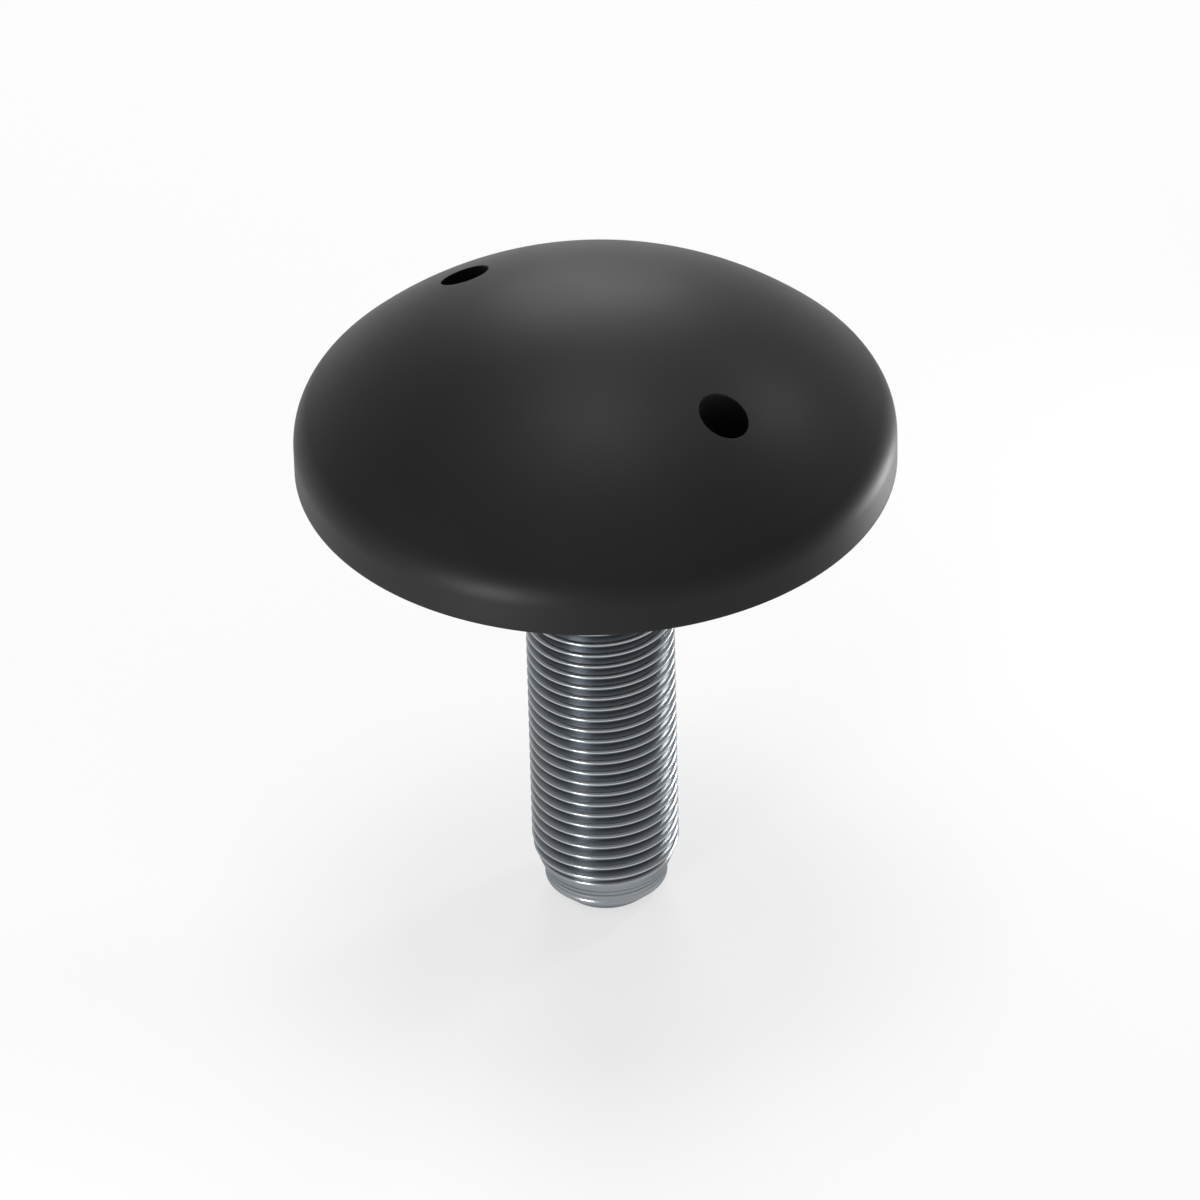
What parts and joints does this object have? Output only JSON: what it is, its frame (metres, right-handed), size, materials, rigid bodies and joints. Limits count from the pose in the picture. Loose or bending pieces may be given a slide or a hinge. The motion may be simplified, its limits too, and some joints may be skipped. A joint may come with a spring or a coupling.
{
  "type": "domed two-pin-hole bolt",
  "caption": "Bolt with a wide domed black moulded head, two blind pin-spanner holes in the crown and a fine-threaded zinc-plated steel stud with a tapered lead.",
  "frame": {"origin": "centre of the flat underside of the head, on the bolt's axis", "axes": "+Z along the bolt's axis towards the crown, so the stud runs down -Z; +X through the two pin holes"},
  "size_m": [0.0635, 0.0634, 0.0749],
  "materials": {
    "black_moulding": "fine satin moulding",
    "zinc_plated_steel": "bright blue-white zinc plate"
  },
  "bodies": {
    "root": {"domed_head": "black_moulding", "threaded_stud": "zinc_plated_steel"}
  },
  "joints": []
}
